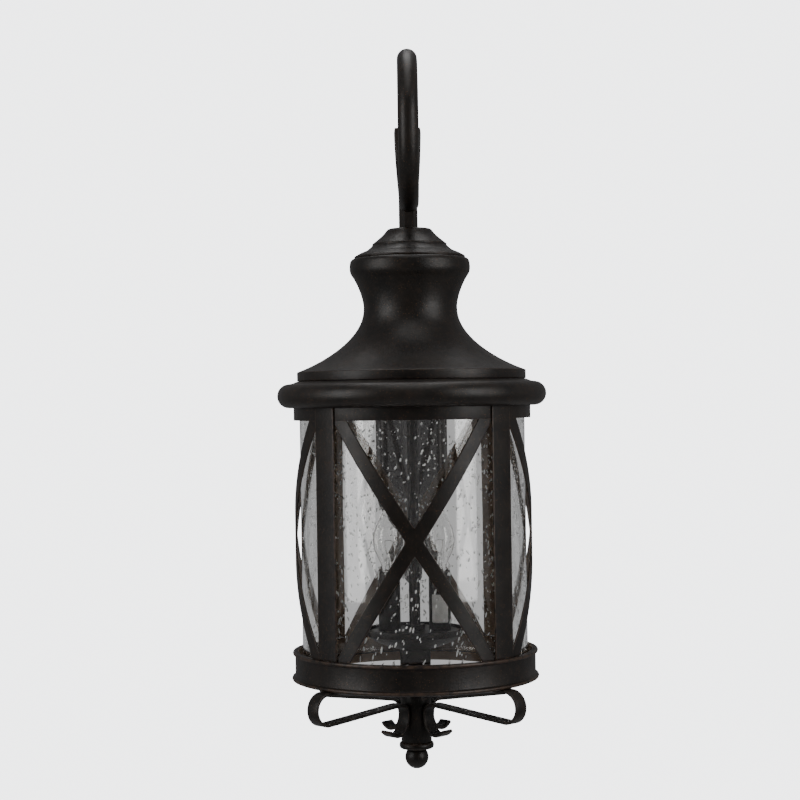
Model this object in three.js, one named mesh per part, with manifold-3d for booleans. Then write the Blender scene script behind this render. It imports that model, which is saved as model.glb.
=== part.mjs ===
// Outdoor wall lantern: a round cage of crossed straps round a seeded-glass cylinder, hung from a
// shepherd's-crook arm on a narrow wall plate, with two candle lamps inside and scrolls below.
// Millimetres, +Z up. The wall is the plane y = 0 and the lantern stands out from it towards -Y.
// The origin is on the wall, at the middle of the mounting bracket.
import * as THREE from "three";
import { mergeVertices } from "three/addons/utils/BufferGeometryUtils.js";
import Module from "manifold-3d";

const wasm = await Module();
wasm.setup();

// ---------- driving dimensions ----------

const TOUCH = 0.3; // gap kept between faces that meet
const SHEET = 1.4; // spun and rolled sheet steel

// Wall plate, a shallow pan with round ends, and what fixes it.
const PLATE_WIDTH = 70;
const PLATE_HEIGHT = 242;
const PLATE_DEPTH = 18;
const GASKET_THICKNESS = 2;
const GASKET_WIDTH = 5;
const BRACKET_THICKNESS = 2.5;
const BRACKET_ARM_WIDTH = 22;
const BRACKET_HEIGHT = 108;
const BRACKET_PLAY = 2; // between the bracket's arms and the gasket
const BOX_SCREW_SPACING = 83.3; // the two screws of a round outlet box
const BOX_SCREW_SLOT = 5; // slot width
const BOX_SCREW_PLAY = 8; // slot length beyond its width
const STUD_SPACING = 40;
const STUD_RADIUS = 2;
const CAP_NUT_RADIUS = 5;
const CAP_NUT_HEIGHT = 10;
const CAP_NUT_THREAD = 6; // depth of its blind hole
const GROUND_SCREW_LENGTH = 5;
const GROUND_SCREW_HEAD = 2.3;
const GROUND_SCREW_DROP = 26; // below the bracket's middle
const GROUND_SCREW_RADIUS = 3.6;

// Crook arm.
const TUBE_RADIUS = 8.6;
const TUBE_WALL = 1.6;
const STAFF_STANDOFF = 36; // wall to the middle of the upright
const STAFF_PLAY = 5.7; // between the upright and the roof's rolled rim
const STAFF_FOOT = -164.6; // level at which the tube's foot comes back to the wall
const FOOT_BEND = 30;
const CROOK_TOP = 290.3; // level of the tube's centreline at the very top
const LOOP_RADIUS = 61;
const BOSS_RADIUS = 8;
const BOSS_SPACING = 116;
const TAIL_START = 292; // degrees round the loop, counted from the wall side through the top
const TAIL_END = 371.6;
const TAIL_WIDTH = 24;
const TAIL_THICKNESS = 4;

// Coupling and hollow rod that carry the lantern.
const COUPLING_RADIUS = 7.4; // across corners, halved
const COUPLING_HEIGHT = 13.7;
const ROD_RADIUS = 4.75;
const ROD_BORE = 3;
const ROD_GRIP = 3; // coupling above the rod's end
const COUPLING_WRAP = 2.4; // how far its sides reach up round the arm
const LEAD_RADIUS = 1.6;
const WIRE_HOLE_PLAY = 2;
const NUT_RADIUS = 8.6;
const NUT_HEIGHT = 5;

// Roof: a two-tier cap, a waisted bell, and a rolled rim.
const CAP_TOP_RADIUS = 18.7;
const CAP_MIDDLE_RADIUS = 31.8;
const CAP_FOOT_RADIUS = 47.3;
const CAP_UPPER_TIER = 14;
const CAP_LOWER_TIER = 10.8;
const CAP_BEAD = 1.8; // height of the upright edge at the foot of each tier
const SHOULDER_RADIUS = 51.1;
const SHOULDER_HEIGHT = 11.7;
const NECK_RADIUS = 40;
const NECK_DROP = 31.3; // foot of the shoulder to the waist
const SKIRT_DROP = 53.4; // waist to the step
const STEP_INSET = 3.4; // inside the band's outer face
const STEP_HEIGHT = 7.3;
const SPIGOT_HEIGHT = 5; // how far the rim stands up inside the step
const ROLL_RADIUS = 10.3;
const ROLL_OVERHANG = 13.7; // beyond the band's outer face
const ROLL_DROP = 2.4; // step's foot to the top of the roll

// Cage.
const BAND_RADIUS = 101; // outside of the band, the crossed straps and the lower rail
const BAND_HEIGHT = 23.5;
const BAND_SHOWING = 10.4; // below the rolled rim
const STRAP_THICKNESS = 1.4;
const CAGE_OPEN_HEIGHT = 195.8; // band to base ring
const PANELS = 4;
const CROSS_WIDTH = 12;
const CROSS_INSET = 5.13; // edge of an upright bar to the middle of a cross's end
const BAR_WIDTH = 21.5;
const BAR_THICKNESS = 1.4;

// Base ring, the ledge in it, and the glass.
const RING_HEIGHT = 24.5;
const RING_WALL = 1.2;
const RING_TOP_BEAD = 1.6;
const RING_FOOT_BEAD = 1.5;
const RING_FOOT_FLARE = 1.3; // how much further out the foot bead stands than the wall
const SEAT_RISE = 8; // underside of the ledge above the ring's foot
const SEAT_WIDTH = 11;
const GLASS_INSET = 5; // inside the band's outer face
const GLASS_THICKNESS = 3;
const GLASS_LAP = 3.6; // how far the glass reaches up inside the rolled rim

// Candle cluster.
const DISH_RADIUS = 41.5;
const DISH_DEPTH = 17.75;
const DISH_RIM_HEIGHT = 5.5;
const SOCKET_PLATE_DROP = 2.5; // below the dish's rim
const CANDLE_OFFSET = 21.5;
const SLEEVE_RADIUS = 9.3;
const SLEEVE_WALL = 0.9;
const SLEEVE_HEIGHT = 50.75;
const LABEL_HEIGHT = 24;
const LABEL_WIDTH = 15;
const LABEL_THICKNESS = 0.3;
const LABEL_RISE = 7; // sleeve's foot to the label's
const SOCKET_HOLE_RADIUS = 4;
const LAMPHOLDER_STALK_RADIUS = 5;
const LAMPHOLDER_BORE = 2;
const LAMPHOLDER_FLOOR = 4; // thickness under the lamp's cap
const LAMPHOLDER_RECESS = 2; // below the sleeve's top
const LAMP_SINK = 1; // how far the lamp's cap ends below the sleeve's top
const LAMP_BASE_RADIUS = 5.9;
const LAMP_BASE_HEIGHT = 18;
const LAMP_RADIUS = 13.6;
const LAMP_HEIGHT = 61;
const LAMP_WALL = 0.8;
const LAMP_NECK_RADIUS = 5.6;
const LAMP_BELLY = 0.44; // level of the widest part, as a share of the height
const STEM_HEIGHT = 16;
const FILAMENT_SPAN = 6;
const WIRE_THICKNESS = 0.6;
const WIRE_LENGTH = 14;

// Hub, scrolls and finial.
const HUB_RADIUS = 13;
const HUB_WALL = 1.5;
const HUB_HEIGHT = 84.7;
const HUB_DROP = 60.7; // foot of the ring to the foot of the hub
const HUB_CAP_RADIUS = 14.6;
const HUB_CAP_HEIGHT = 5.5;
const HUB_CAP_CHAMFER = 1.4;
const SCROLL_WIDTH = 12;
const SCROLL_THICKNESS = 2.5;
const SCROLL_OVERHANG = 5; // middle of the outer curl beyond the band's outer face
const SCROLL_CURL = 12.7;
const SCROLL_TAB = 14; // length of the top run under the ring
const SCROLL_RISE = 5.4; // the lower run climbs this much on its way in
const SCROLL_TIP = 36.5; // axis to the end of the inner curl
const BALL_RADIUS = 10;
const BALL_DROP = 7.3; // foot of the hub's cap to the ball's centre
const BALL_NECK_HEIGHT = 1;
const BALL_NECK_RADIUS = 7.5;
const BALL_HOLE_SPARE = 1.5; // blind hole beyond the rod's end

// ---------- levels and radii worked out from them ----------

const STEP_RADIUS = BAND_RADIUS - STEP_INSET;
const ROLL_OUTER_RADIUS = BAND_RADIUS + ROLL_OVERHANG;
const GLASS_RADIUS = BAND_RADIUS - GLASS_INSET;
const SCROLL_REACH = BAND_RADIUS + SCROLL_OVERHANG;
// The wall to the lantern's own axis.
const PROJECTION = ROLL_OUTER_RADIUS + STAFF_PLAY + TUBE_RADIUS + STAFF_STANDOFF;

const CAP_TOP = CROOK_TOP - 2 * LOOP_RADIUS - TUBE_RADIUS - COUPLING_HEIGHT;
const CAP_MIDDLE = CAP_TOP - CAP_UPPER_TIER;
const CAP_FOOT = CAP_MIDDLE - CAP_LOWER_TIER;
const SHOULDER_TOP = CAP_FOOT - TOUCH;
const SHOULDER_FOOT = SHOULDER_TOP - SHOULDER_HEIGHT;
const NECK_LEVEL = SHOULDER_FOOT - NECK_DROP;
const STEP_TOP = NECK_LEVEL - SKIRT_DROP;
const STEP_FOOT = STEP_TOP - STEP_HEIGHT;
const ROLL_CENTRE = STEP_FOOT - ROLL_DROP - ROLL_RADIUS;
const ROLL_FOOT = ROLL_CENTRE - ROLL_RADIUS;

const BAND_FOOT = ROLL_FOOT - BAND_SHOWING;
const BAND_INSIDE = BAND_RADIUS - STRAP_THICKNESS;
const BAR_INSIDE = BAND_RADIUS + TOUCH;
const RING_TOP = BAND_FOOT - CAGE_OPEN_HEIGHT;
const RING_FOOT = RING_TOP - RING_HEIGHT;
const RING_INSIDE = BAND_RADIUS + TOUCH;
const RING_OUTSIDE = RING_INSIDE + RING_WALL;
const SEAT_TOP = RING_FOOT + SEAT_RISE + SHEET;
const RAIL_FOOT = SEAT_TOP + TOUCH;
const RAIL_TOP = RING_TOP;
const GLASS_FOOT = SEAT_TOP + TOUCH;
const GLASS_TOP = ROLL_FOOT + GLASS_LAP;

const HUB_FOOT = RING_FOOT - HUB_DROP;
const HUB_TOP = HUB_FOOT + HUB_HEIGHT;
const DISH_FOOT = HUB_TOP + TOUCH;
const DISH_RIM = DISH_FOOT + DISH_DEPTH;
const SOCKET_PLATE_TOP = DISH_RIM - SOCKET_PLATE_DROP;
const SLEEVE_FOOT = SOCKET_PLATE_TOP + TOUCH;
const SLEEVE_TOP = SLEEVE_FOOT + SLEEVE_HEIGHT;
const LAMP_FOOT = SLEEVE_TOP - LAMP_SINK;
const LAMP_BORE = LAMP_BASE_RADIUS + TOUCH;
const BALL_TOP = HUB_FOOT - TOUCH;
const BALL_CENTRE = BALL_TOP - BALL_DROP;

const ROD_TOP = CAP_TOP + COUPLING_HEIGHT - ROD_GRIP;
const ROD_FOOT = BALL_CENTRE;
const WIRE_HOLE_RADIUS = LEAD_RADIUS + WIRE_HOLE_PLAY;
const ROD_HOLE = ROD_RADIUS + TOUCH;
const BRACKET_WIDTH = PLATE_WIDTH - 2 * (GASKET_WIDTH + BRACKET_PLAY);
const PLATE_BACK = -(GASKET_THICKNESS + TOUCH);
const PLATE_FACE = PLATE_BACK - PLATE_DEPTH;
const BOSS_LEVELS = [BOSS_SPACING / 2, -BOSS_SPACING / 2];

// ---------- helpers ----------

const LARGE = 32; // sides of a large turned piece
const MIDDLE = 24; // sides of a middling one
const SMALL = 16; // sides of a small one

// A closed solid for cutting and joining, from any closed three.js geometry.
function solidOf(geometry) {
  const plain = new THREE.BufferGeometry();
  plain.setAttribute("position", geometry.getAttribute("position"));
  plain.setIndex(geometry.index);
  const merged = mergeVertices(plain, 1e-4);
  return new wasm.Manifold(
    new wasm.Mesh({
      numProp: 3,
      vertProperties: merged.attributes.position.array,
      triVerts: new Uint32Array(merged.index.array),
    }),
  );
}

function geometryOf(solid) {
  const { vertProperties, triVerts } = solid.getMesh();
  const geometry = new THREE.BufferGeometry();
  geometry.setAttribute("position", new THREE.BufferAttribute(vertProperties, 3));
  geometry.setIndex(new THREE.BufferAttribute(triVerts, 1));
  return geometry;
}

const cut = (geometry, ...tools) =>
  geometryOf(tools.reduce((solid, tool) => solid.subtract(solidOf(tool)), solidOf(geometry)));

const join = (geometry, ...others) =>
  geometryOf(others.reduce((solid, other) => solid.add(solidOf(other)), solidOf(geometry)));

// A turned solid about Z from a closed outline of [radius, height] points. An outline that uses
// the axis starts and ends on it.
function turned(outline, sides = LARGE) {
  const area = outline.reduce((sum, [r, z], i) => {
    const [nextR, nextZ] = outline[(i + 1) % outline.length];
    return sum + r * nextZ - nextR * z;
  }, 0);
  const ordered = area > 0 ? outline : [...outline].reverse();
  const closed = ordered[0][0] === 0 ? ordered : [...ordered, ordered[0]];
  const points = closed.map(([r, z]) => new THREE.Vector2(r, z));
  return new THREE.LatheGeometry(points, sides).rotateX(Math.PI / 2);
}

// A tube or washer about Z.
function ring(inner, outer, low, high, sides = LARGE) {
  const outline = [
    [inner, low],
    [outer, low],
    [outer, high],
    [inner, high],
  ];
  return turned(outline, sides);
}

// A round bar about Z.
const bar = (radius, low, high, sides = SMALL) =>
  new THREE.CylinderGeometry(radius, radius, high - low, sides)
    .rotateX(Math.PI / 2)
    .translate(0, 0, (low + high) / 2);

// A round bar along Y, from nearer the wall to further out.
const post = (radius, back, front, x, z, sides = SMALL) =>
  new THREE.CylinderGeometry(radius, radius, back - front, sides).translate(x, (back + front) / 2, z);

// Points of an arc, from one angle to another in degrees.
function arc([cx, cy], radius, from, to, count) {
  return Array.from({ length: count + 1 }, (_, i) => {
    const angle = THREE.MathUtils.degToRad(from + ((to - from) * i) / count);
    return [cx + radius * Math.cos(angle), cy + radius * Math.sin(angle)];
  });
}

// Points of a cubic curve between two outline points.
function bow(start, pullStart, pullEnd, end, count) {
  const corners = [start, pullStart, pullEnd, end].map(([x, y]) => new THREE.Vector2(x, y));
  return new THREE.CubicBezierCurve(...corners).getPoints(count).map((p) => [p.x, p.y]);
}

// The line moved sideways by a distance, to the left of its own direction.
function beside(line, distance) {
  return line.map(([x, y], i) => {
    const [ax, ay] = line[Math.max(i - 1, 0)];
    const [bx, by] = line[Math.min(i + 1, line.length - 1)];
    const length = Math.hypot(bx - ax, by - ay);
    return [x - (distance * (by - ay)) / length, y + (distance * (bx - ax)) / length];
  });
}

// Both faces of a sheet whose outer face is the line and whose metal lies to the line's right.
const sheet = (line, thickness = SHEET) => [...line, ...beside(line, -thickness).reverse()];

// A hexagonal or round-sided prism about Z with a round hole through it.
function nut(radius, hole, low, high, sides = 6) {
  const shape = new THREE.Shape(
    arc([0, 0], radius, 0, 360 - 360 / sides, sides - 1).map(([x, y]) => new THREE.Vector2(x, y)),
  );
  shape.holes.push(new THREE.Path().absarc(0, 0, hole, 0, 2 * Math.PI, true));
  return new THREE.ExtrudeGeometry(shape, {
    depth: high - low,
    bevelEnabled: false,
    curveSegments: 6,
  }).translate(0, 0, low);
}

// A strip bent round the lantern's axis at its front. It starts as a box: x runs round the axis,
// y is depth and z is height. `lean` slants it.
function wrapped(width, thickness, low, high, radius, lean = 0, across = 3, along = 1) {
  const geometry = new THREE.BoxGeometry(width, thickness, high - low, across, 1, along);
  const position = geometry.getAttribute("position");
  for (let i = 0; i < position.count; i++) {
    const angle = (position.getX(i) + lean * position.getZ(i)) / radius;
    const reach = radius - thickness / 2 - position.getY(i);
    position.setX(i, reach * Math.sin(angle));
    position.setY(i, -reach * Math.cos(angle));
  }
  return geometry.translate(0, 0, (low + high) / 2);
}

// A pan, ring or plate with two round ends that stands off the wall: a turned outline of
// [radius, distance from the wall], pulled apart at its middle.
function racetrack(outline, stretch) {
  const geometry = turned(outline, MIDDLE).rotateX(Math.PI / 2).rotateY(Math.PI / MIDDLE);
  const position = geometry.getAttribute("position");
  for (let i = 0; i < position.count; i++) {
    const z = position.getZ(i);
    if (Math.abs(z) > 1e-6) position.setZ(i, z + (Math.sign(z) * stretch) / 2);
  }
  return geometry;
}

// A curve made of stages in a row, each sampled in its own number of steps.
class StagedCurve extends THREE.Curve {
  constructor(stages) {
    super();
    this.stages = stages;
    this.steps = stages.reduce((sum, [, steps]) => sum + steps, 0);
  }

  getPoint(t) {
    let at = t * this.steps;
    for (const [curve, steps] of this.stages) {
      if (at <= steps) return curve.getPoint(at / steps);
      at -= steps;
    }
    return this.stages.at(-1)[0].getPoint(1);
  }

  getPointAt(u) {
    return this.getPoint(u);
  }

  getTangentAt(u) {
    return this.getTangent(u);
  }
}

const inWallPlane = (y, z) => new THREE.Vector3(0, y, z);
const straight = (from, to) => new THREE.LineCurve3(inWallPlane(...from), inWallPlane(...to));

// An arc in the plane x = 0, by centre, radius and degrees counted from +Y through +Z.
class WallArc extends THREE.Curve {
  constructor(centre, radius, from, to) {
    super();
    Object.assign(this, { centre, radius, from, to });
  }

  getPoint(t) {
    const angle = THREE.MathUtils.degToRad(this.from + (this.to - this.from) * t);
    const [y, z] = this.centre;
    return inWallPlane(y + this.radius * Math.cos(angle), z + this.radius * Math.sin(angle));
  }
}

// A round tube, or a solid rod where the bore is 0, along a staged curve.
function pipe(path, radius, bore, sides) {
  const section = new THREE.Shape().absarc(0, 0, radius, 0, 2 * Math.PI, false);
  if (bore > 0) section.holes.push(new THREE.Path().absarc(0, 0, bore, 0, 2 * Math.PI, true));
  return new THREE.ExtrudeGeometry(section, {
    steps: path.steps,
    extrudePath: path,
    curveSegments: sides / 2,
    bevelEnabled: false,
  });
}

// ---------- finishes and scene graph ----------

const finish = (color, roughness, metalness, extra = {}) =>
  new THREE.MeshStandardMaterial({ color, roughness, metalness, ...extra });

const BRONZE = finish(0x26211e, 0.45, 0.7);
const ZINC = finish(0xb4b6b8, 0.4, 0.9);
const BRASS = finish(0xb08d4a, 0.35, 0.95);
const GLASS = finish(0xe8eceb, 0.04, 0, { transparent: true, opacity: 0.3 });
const RUBBER = finish(0x1a1a1a, 0.9, 0);
const PHENOLIC = finish(0x2b2623, 0.6, 0);
const LABEL = finish(0xe9e9e6, 0.6, 0);
const GREEN = finish(0x2f7d46, 0.4, 0.6);

const part = new THREE.Group();
const lantern = new THREE.Group();
lantern.position.y = -PROJECTION;
part.add(lantern);

function add(parent, name, geometry, material, x = 0, turn = 0) {
  const mesh = new THREE.Mesh(geometry, material);
  mesh.name = name;
  mesh.position.x = x;
  mesh.rotation.z = turn;
  parent.add(mesh);
}

// ---------- wall plate and its fixings ----------

function mountingBracket() {
  const t = BRACKET_THICKNESS;
  const upright = new THREE.BoxGeometry(BRACKET_ARM_WIDTH, t, BRACKET_HEIGHT).translate(0, -t / 2, 0);
  const across = new THREE.BoxGeometry(BRACKET_WIDTH, t, BRACKET_ARM_WIDTH).translate(0, -t / 2, 0);
  const slots = [1, -1].map((side) =>
    new THREE.BoxGeometry(BOX_SCREW_SLOT, 3 * t, BOX_SCREW_SLOT + BOX_SCREW_PLAY).translate(
      0,
      0,
      (side * BOX_SCREW_SPACING) / 2,
    ),
  );
  const studHoles = [1, -1].map((side) =>
    post(STUD_RADIUS + TOUCH, t, -2 * t, (side * STUD_SPACING) / 2, 0),
  );
  const groundHole = post(GROUND_SCREW_RADIUS / 2 + TOUCH, t, -2 * t, 0, -GROUND_SCREW_DROP);
  return cut(join(upright, across), ...slots, ...studHoles, groundHole);
}

function backplate() {
  const half = PLATE_WIDTH / 2;
  const out = -PLATE_BACK;
  const face = -PLATE_FACE;
  const outer = [
    [half, out],
    [half, out + 3],
    ...bow([half - 1.5, out + 4], [half - 3, face - 4], [half - 5, face], [half - 9, face], 4),
    [0, face],
  ];
  const inner = beside(outer, SHEET).reverse();
  inner[0] = [0, face - SHEET];
  const stretch = PLATE_HEIGHT - PLATE_WIDTH;
  const pan = racetrack([...inner, ...outer], stretch);
  const studHoles = [1, -1].map((side) =>
    post(STUD_RADIUS + TOUCH, PLATE_BACK, PLATE_FACE - 2, (side * STUD_SPACING) / 2, 0),
  );
  const wireHole = post(WIRE_HOLE_RADIUS, PLATE_BACK, PLATE_FACE - 2, 0, BOSS_LEVELS[1]);
  return cut(pan, ...studHoles, wireHole);
}

function gasket() {
  const outer = PLATE_WIDTH / 2;
  const outline = [
    [outer - GASKET_WIDTH, 0],
    [outer, 0],
    [outer, GASKET_THICKNESS],
    [outer - GASKET_WIDTH, GASKET_THICKNESS],
  ];
  return racetrack(outline, PLATE_HEIGHT - PLATE_WIDTH);
}

// A domed nut whose flat face lies on the plate.
function capNut() {
  const outline = [
    [0, CAP_NUT_HEIGHT],
    ...arc([0, CAP_NUT_HEIGHT - CAP_NUT_RADIUS], CAP_NUT_RADIUS * 0.94, 80, 8, 4),
    [CAP_NUT_RADIUS, CAP_NUT_HEIGHT - CAP_NUT_RADIUS],
    [CAP_NUT_RADIUS, 0],
    [STUD_RADIUS + TOUCH, 0],
    [STUD_RADIUS + TOUCH, CAP_NUT_THREAD],
    [0, CAP_NUT_THREAD],
  ];
  return turned(outline, SMALL).rotateX(Math.PI / 2).translate(0, PLATE_FACE - TOUCH, 0);
}

const studFront = PLATE_FACE - CAP_NUT_THREAD + TOUCH;
add(part, "mounting_bracket", mountingBracket(), ZINC);
add(part, "wall_gasket", gasket(), RUBBER);
add(part, "backplate", backplate(), BRONZE);
for (const [name, side] of [
  ["left", -1],
  ["right", 1],
]) {
  const x = (side * STUD_SPACING) / 2;
  add(part, `mounting_stud_${name}`, post(STUD_RADIUS, -TOUCH, studFront, 0, 0, 12), ZINC, x);
  add(part, `cap_nut_${name}`, capNut(), BRONZE, x);
}
const screwSeat = -BRACKET_THICKNESS - TOUCH;
const groundScrew = join(
  post(GROUND_SCREW_RADIUS / 2, -TOUCH, -GROUND_SCREW_LENGTH, 0, -GROUND_SCREW_DROP),
  post(GROUND_SCREW_RADIUS, screwSeat, screwSeat - GROUND_SCREW_HEAD, 0, -GROUND_SCREW_DROP),
);
add(part, "ground_screw", groundScrew, GREEN);

// ---------- crook arm ----------

const staffY = -STAFF_STANDOFF;
const crookRadius = PROJECTION - STAFF_STANDOFF;
const crookCentre = [-PROJECTION, CROOK_TOP - crookRadius];
const loopCentre = [-PROJECTION, CROOK_TOP - LOOP_RADIUS];
const elbowCentre = [staffY + FOOT_BEND, STAFF_FOOT + FOOT_BEND];

function armTube() {
  const path = new StagedCurve([
    [straight([-1, STAFF_FOOT], [elbowCentre[0], STAFF_FOOT]), 1],
    [new WallArc(elbowCentre, FOOT_BEND, 270, 180), 6],
    [straight([staffY, elbowCentre[1]], [staffY, crookCentre[1]]), 1],
    [new WallArc(crookCentre, crookRadius, 0, 90), 10],
    [new WallArc(loopCentre, LOOP_RADIUS, 90, TAIL_START), 16],
  ]);
  const tube = pipe(path, TUBE_RADIUS, TUBE_RADIUS - TUBE_WALL, 12);
  const wireEntry = post(WIRE_HOLE_RADIUS, PLATE_FACE, staffY, 0, BOSS_LEVELS[1]);
  const wireExit = bar(ROD_BORE, CAP_TOP, loopCentre[1] - LOOP_RADIUS).translate(0, -PROJECTION, 0);
  return cut(tube, wireEntry, wireExit);
}

// The end of the arm, hammered from the round tube into a broad flat tip.
function armTail() {
  const geometry = new THREE.CylinderGeometry(1, 1, 1, 12, 8);
  const position = geometry.getAttribute("position");
  const start = TAIL_START + THREE.MathUtils.radToDeg(TOUCH / LOOP_RADIUS);
  for (let i = 0; i < position.count; i++) {
    const along = position.getY(i) + 0.5;
    const ease = THREE.MathUtils.smoothstep(along, 0, 1);
    const angle = THREE.MathUtils.degToRad(THREE.MathUtils.lerp(start, TAIL_END, along));
    const halfWidth = THREE.MathUtils.lerp(TUBE_RADIUS, TAIL_WIDTH / 2, ease);
    const halfDepth = THREE.MathUtils.lerp(TUBE_RADIUS, TAIL_THICKNESS / 2, ease);
    const reach = LOOP_RADIUS - position.getZ(i) * halfDepth;
    position.setX(i, position.getX(i) * halfWidth);
    position.setY(i, loopCentre[0] + reach * Math.cos(angle));
    position.setZ(i, loopCentre[1] + reach * Math.sin(angle));
  }
  return geometry;
}

function armBoss(level) {
  const boss = post(BOSS_RADIUS, PLATE_FACE - TOUCH, staffY + 3, 0, level);
  const tube = bar(TUBE_RADIUS + TOUCH, level - 20, level + 20, 24).translate(0, staffY, 0);
  const wireHole = post(WIRE_HOLE_RADIUS, PLATE_FACE, staffY, 0, level);
  return cut(boss, tube, wireHole);
}

// One two-core lead: in through the lower boss, up inside the arm, and down the hollow rod.
function supplyLead() {
  const bend = TUBE_RADIUS - TUBE_WALL - LEAD_RADIUS - TOUCH;
  const entry = BOSS_LEVELS[1];
  const drop = loopCentre[1] - LOOP_RADIUS;
  const path = new StagedCurve([
    [straight([PLATE_FACE + 8, entry], [staffY + bend, entry]), 1],
    [new WallArc([staffY + bend, entry + bend], bend, 270, 180), 4],
    [straight([staffY, entry + bend], [staffY, crookCentre[1]]), 1],
    [new WallArc(crookCentre, crookRadius, 0, 90), 10],
    [new WallArc(loopCentre, LOOP_RADIUS, 90, 265), 14],
    [new WallArc([-PROJECTION - bend, drop - bend], bend, 86, 0), 5],
    [straight([-PROJECTION, drop - bend], [-PROJECTION, SOCKET_PLATE_TOP - 6]), 1],
  ]);
  return pipe(path, LEAD_RADIUS, 0, 8);
}

function hangingCoupling() {
  const top = CAP_TOP + COUPLING_HEIGHT + COUPLING_WRAP;
  const blank = nut(COUPLING_RADIUS, ROD_HOLE, CAP_TOP + TOUCH, top);
  const loop = new THREE.TorusGeometry(LOOP_RADIUS, TUBE_RADIUS + TOUCH, 16, 64)
    .rotateY(Math.PI / 2)
    .translate(0, 0, loopCentre[1]);
  return cut(blank, loop);
}

add(part, "arm_tube", armTube(), BRONZE);
add(part, "arm_tail", armTail(), BRONZE);
add(part, "arm_boss_upper", armBoss(BOSS_LEVELS[0]), BRONZE);
add(part, "arm_boss_lower", armBoss(BOSS_LEVELS[1]), BRONZE);
add(part, "supply_lead", supplyLead(), RUBBER);
add(lantern, "hanging_coupling", hangingCoupling(), BRONZE);
add(lantern, "centre_rod", ring(ROD_BORE, ROD_RADIUS, ROD_FOOT, ROD_TOP, 16), ZINC);

// ---------- roof ----------

// One flared tier of the cap, from its top edge down to a bead.
function capTier([topRadius, top], [footRadius, foot]) {
  const beadTop = foot + CAP_BEAD;
  return [
    ...bow(
      [topRadius, top],
      [topRadius + 3, top - 4.4],
      [footRadius - 5, beadTop + 3.2],
      [footRadius - 0.8, beadTop],
      3,
    ),
    [footRadius, beadTop - 0.6],
    [footRadius, foot],
  ];
}

function roofCap() {
  const line = [
    [ROD_HOLE, CAP_TOP],
    [CAP_TOP_RADIUS - 1.2, CAP_TOP],
    ...capTier([CAP_TOP_RADIUS, CAP_TOP - 0.6], [CAP_MIDDLE_RADIUS, CAP_MIDDLE]),
    ...capTier([CAP_MIDDLE_RADIUS + 0.6, CAP_MIDDLE - 0.8], [CAP_FOOT_RADIUS, CAP_FOOT]),
  ];
  return turned(sheet(line), MIDDLE);
}

function roofBell() {
  const neck = [NECK_RADIUS, NECK_LEVEL];
  const line = [
    [ROD_HOLE, SHOULDER_TOP],
    [SHOULDER_RADIUS - 4.3, SHOULDER_TOP],
    [SHOULDER_RADIUS - 1.4, SHOULDER_TOP - 1.1],
    [SHOULDER_RADIUS, SHOULDER_TOP - 3.6],
    ...bow(
      [SHOULDER_RADIUS, SHOULDER_FOOT],
      [SHOULDER_RADIUS - 4.6, SHOULDER_FOOT - 7.6],
      [NECK_RADIUS, NECK_LEVEL + 11.5],
      neck,
      4,
    ),
    ...bow(
      neck,
      [NECK_RADIUS, NECK_LEVEL - 24],
      [STEP_RADIUS - 25.6, STEP_TOP + 9.5],
      [STEP_RADIUS, STEP_TOP],
      7,
    ).slice(1),
    [STEP_RADIUS, STEP_FOOT],
  ];
  return turned(sheet(line));
}

function roofRim() {
  const spigot = STEP_RADIUS - SHEET - TOUCH;
  const middle = ROLL_OUTER_RADIUS - ROLL_RADIUS;
  const crest = ROLL_CENTRE + ROLL_RADIUS;
  const shoulder = STEP_FOOT - TOUCH;
  const line = [
    [spigot, shoulder + SPIGOT_HEIGHT],
    [spigot, shoulder],
    ...bow([spigot + 1, shoulder], [spigot + 3, shoulder], [middle - 3.5, crest], [middle, crest], 3),
    ...arc([middle, ROLL_CENTRE], ROLL_RADIUS, 66, -90, 7),
  ];
  return turned(sheet(line, 1.2));
}

add(lantern, "roof_cap", roofCap(), BRONZE);
add(lantern, "roof_bell", roofBell(), BRONZE);
add(lantern, "roof_rim", roofRim(), BRONZE);
const roofNutTop = SHOULDER_TOP - SHEET - TOUCH;
add(lantern, "roof_locknut", nut(NUT_RADIUS, ROD_HOLE, roofNutTop - NUT_HEIGHT, roofNutTop), ZINC);

// ---------- candle cluster ----------

function socketDish() {
  const line = [
    [ROD_HOLE, DISH_FOOT],
    [HUB_RADIUS, DISH_FOOT],
    ...bow(
      [HUB_RADIUS + 1.5, DISH_FOOT + 0.4],
      [HUB_RADIUS + 13, DISH_FOOT + 2.5],
      [DISH_RADIUS - 4, DISH_RIM - DISH_RIM_HEIGHT - 3.5],
      [DISH_RADIUS, DISH_RIM - DISH_RIM_HEIGHT],
      4,
    ),
    [DISH_RADIUS, DISH_RIM],
  ];
  return turned([...line, ...beside(line, SHEET).reverse()], MIDDLE);
}

function socketPlate() {
  const radius = DISH_RADIUS - SHEET - 2 * TOUCH;
  const plate = ring(ROD_HOLE, radius, SOCKET_PLATE_TOP - SHEET, SOCKET_PLATE_TOP, MIDDLE);
  const holes = [1, -1].map((side) =>
    bar(SOCKET_HOLE_RADIUS, DISH_FOOT, SLEEVE_TOP, 12).translate(side * CANDLE_OFFSET, 0, 0),
  );
  return cut(plate, ...holes);
}

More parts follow.
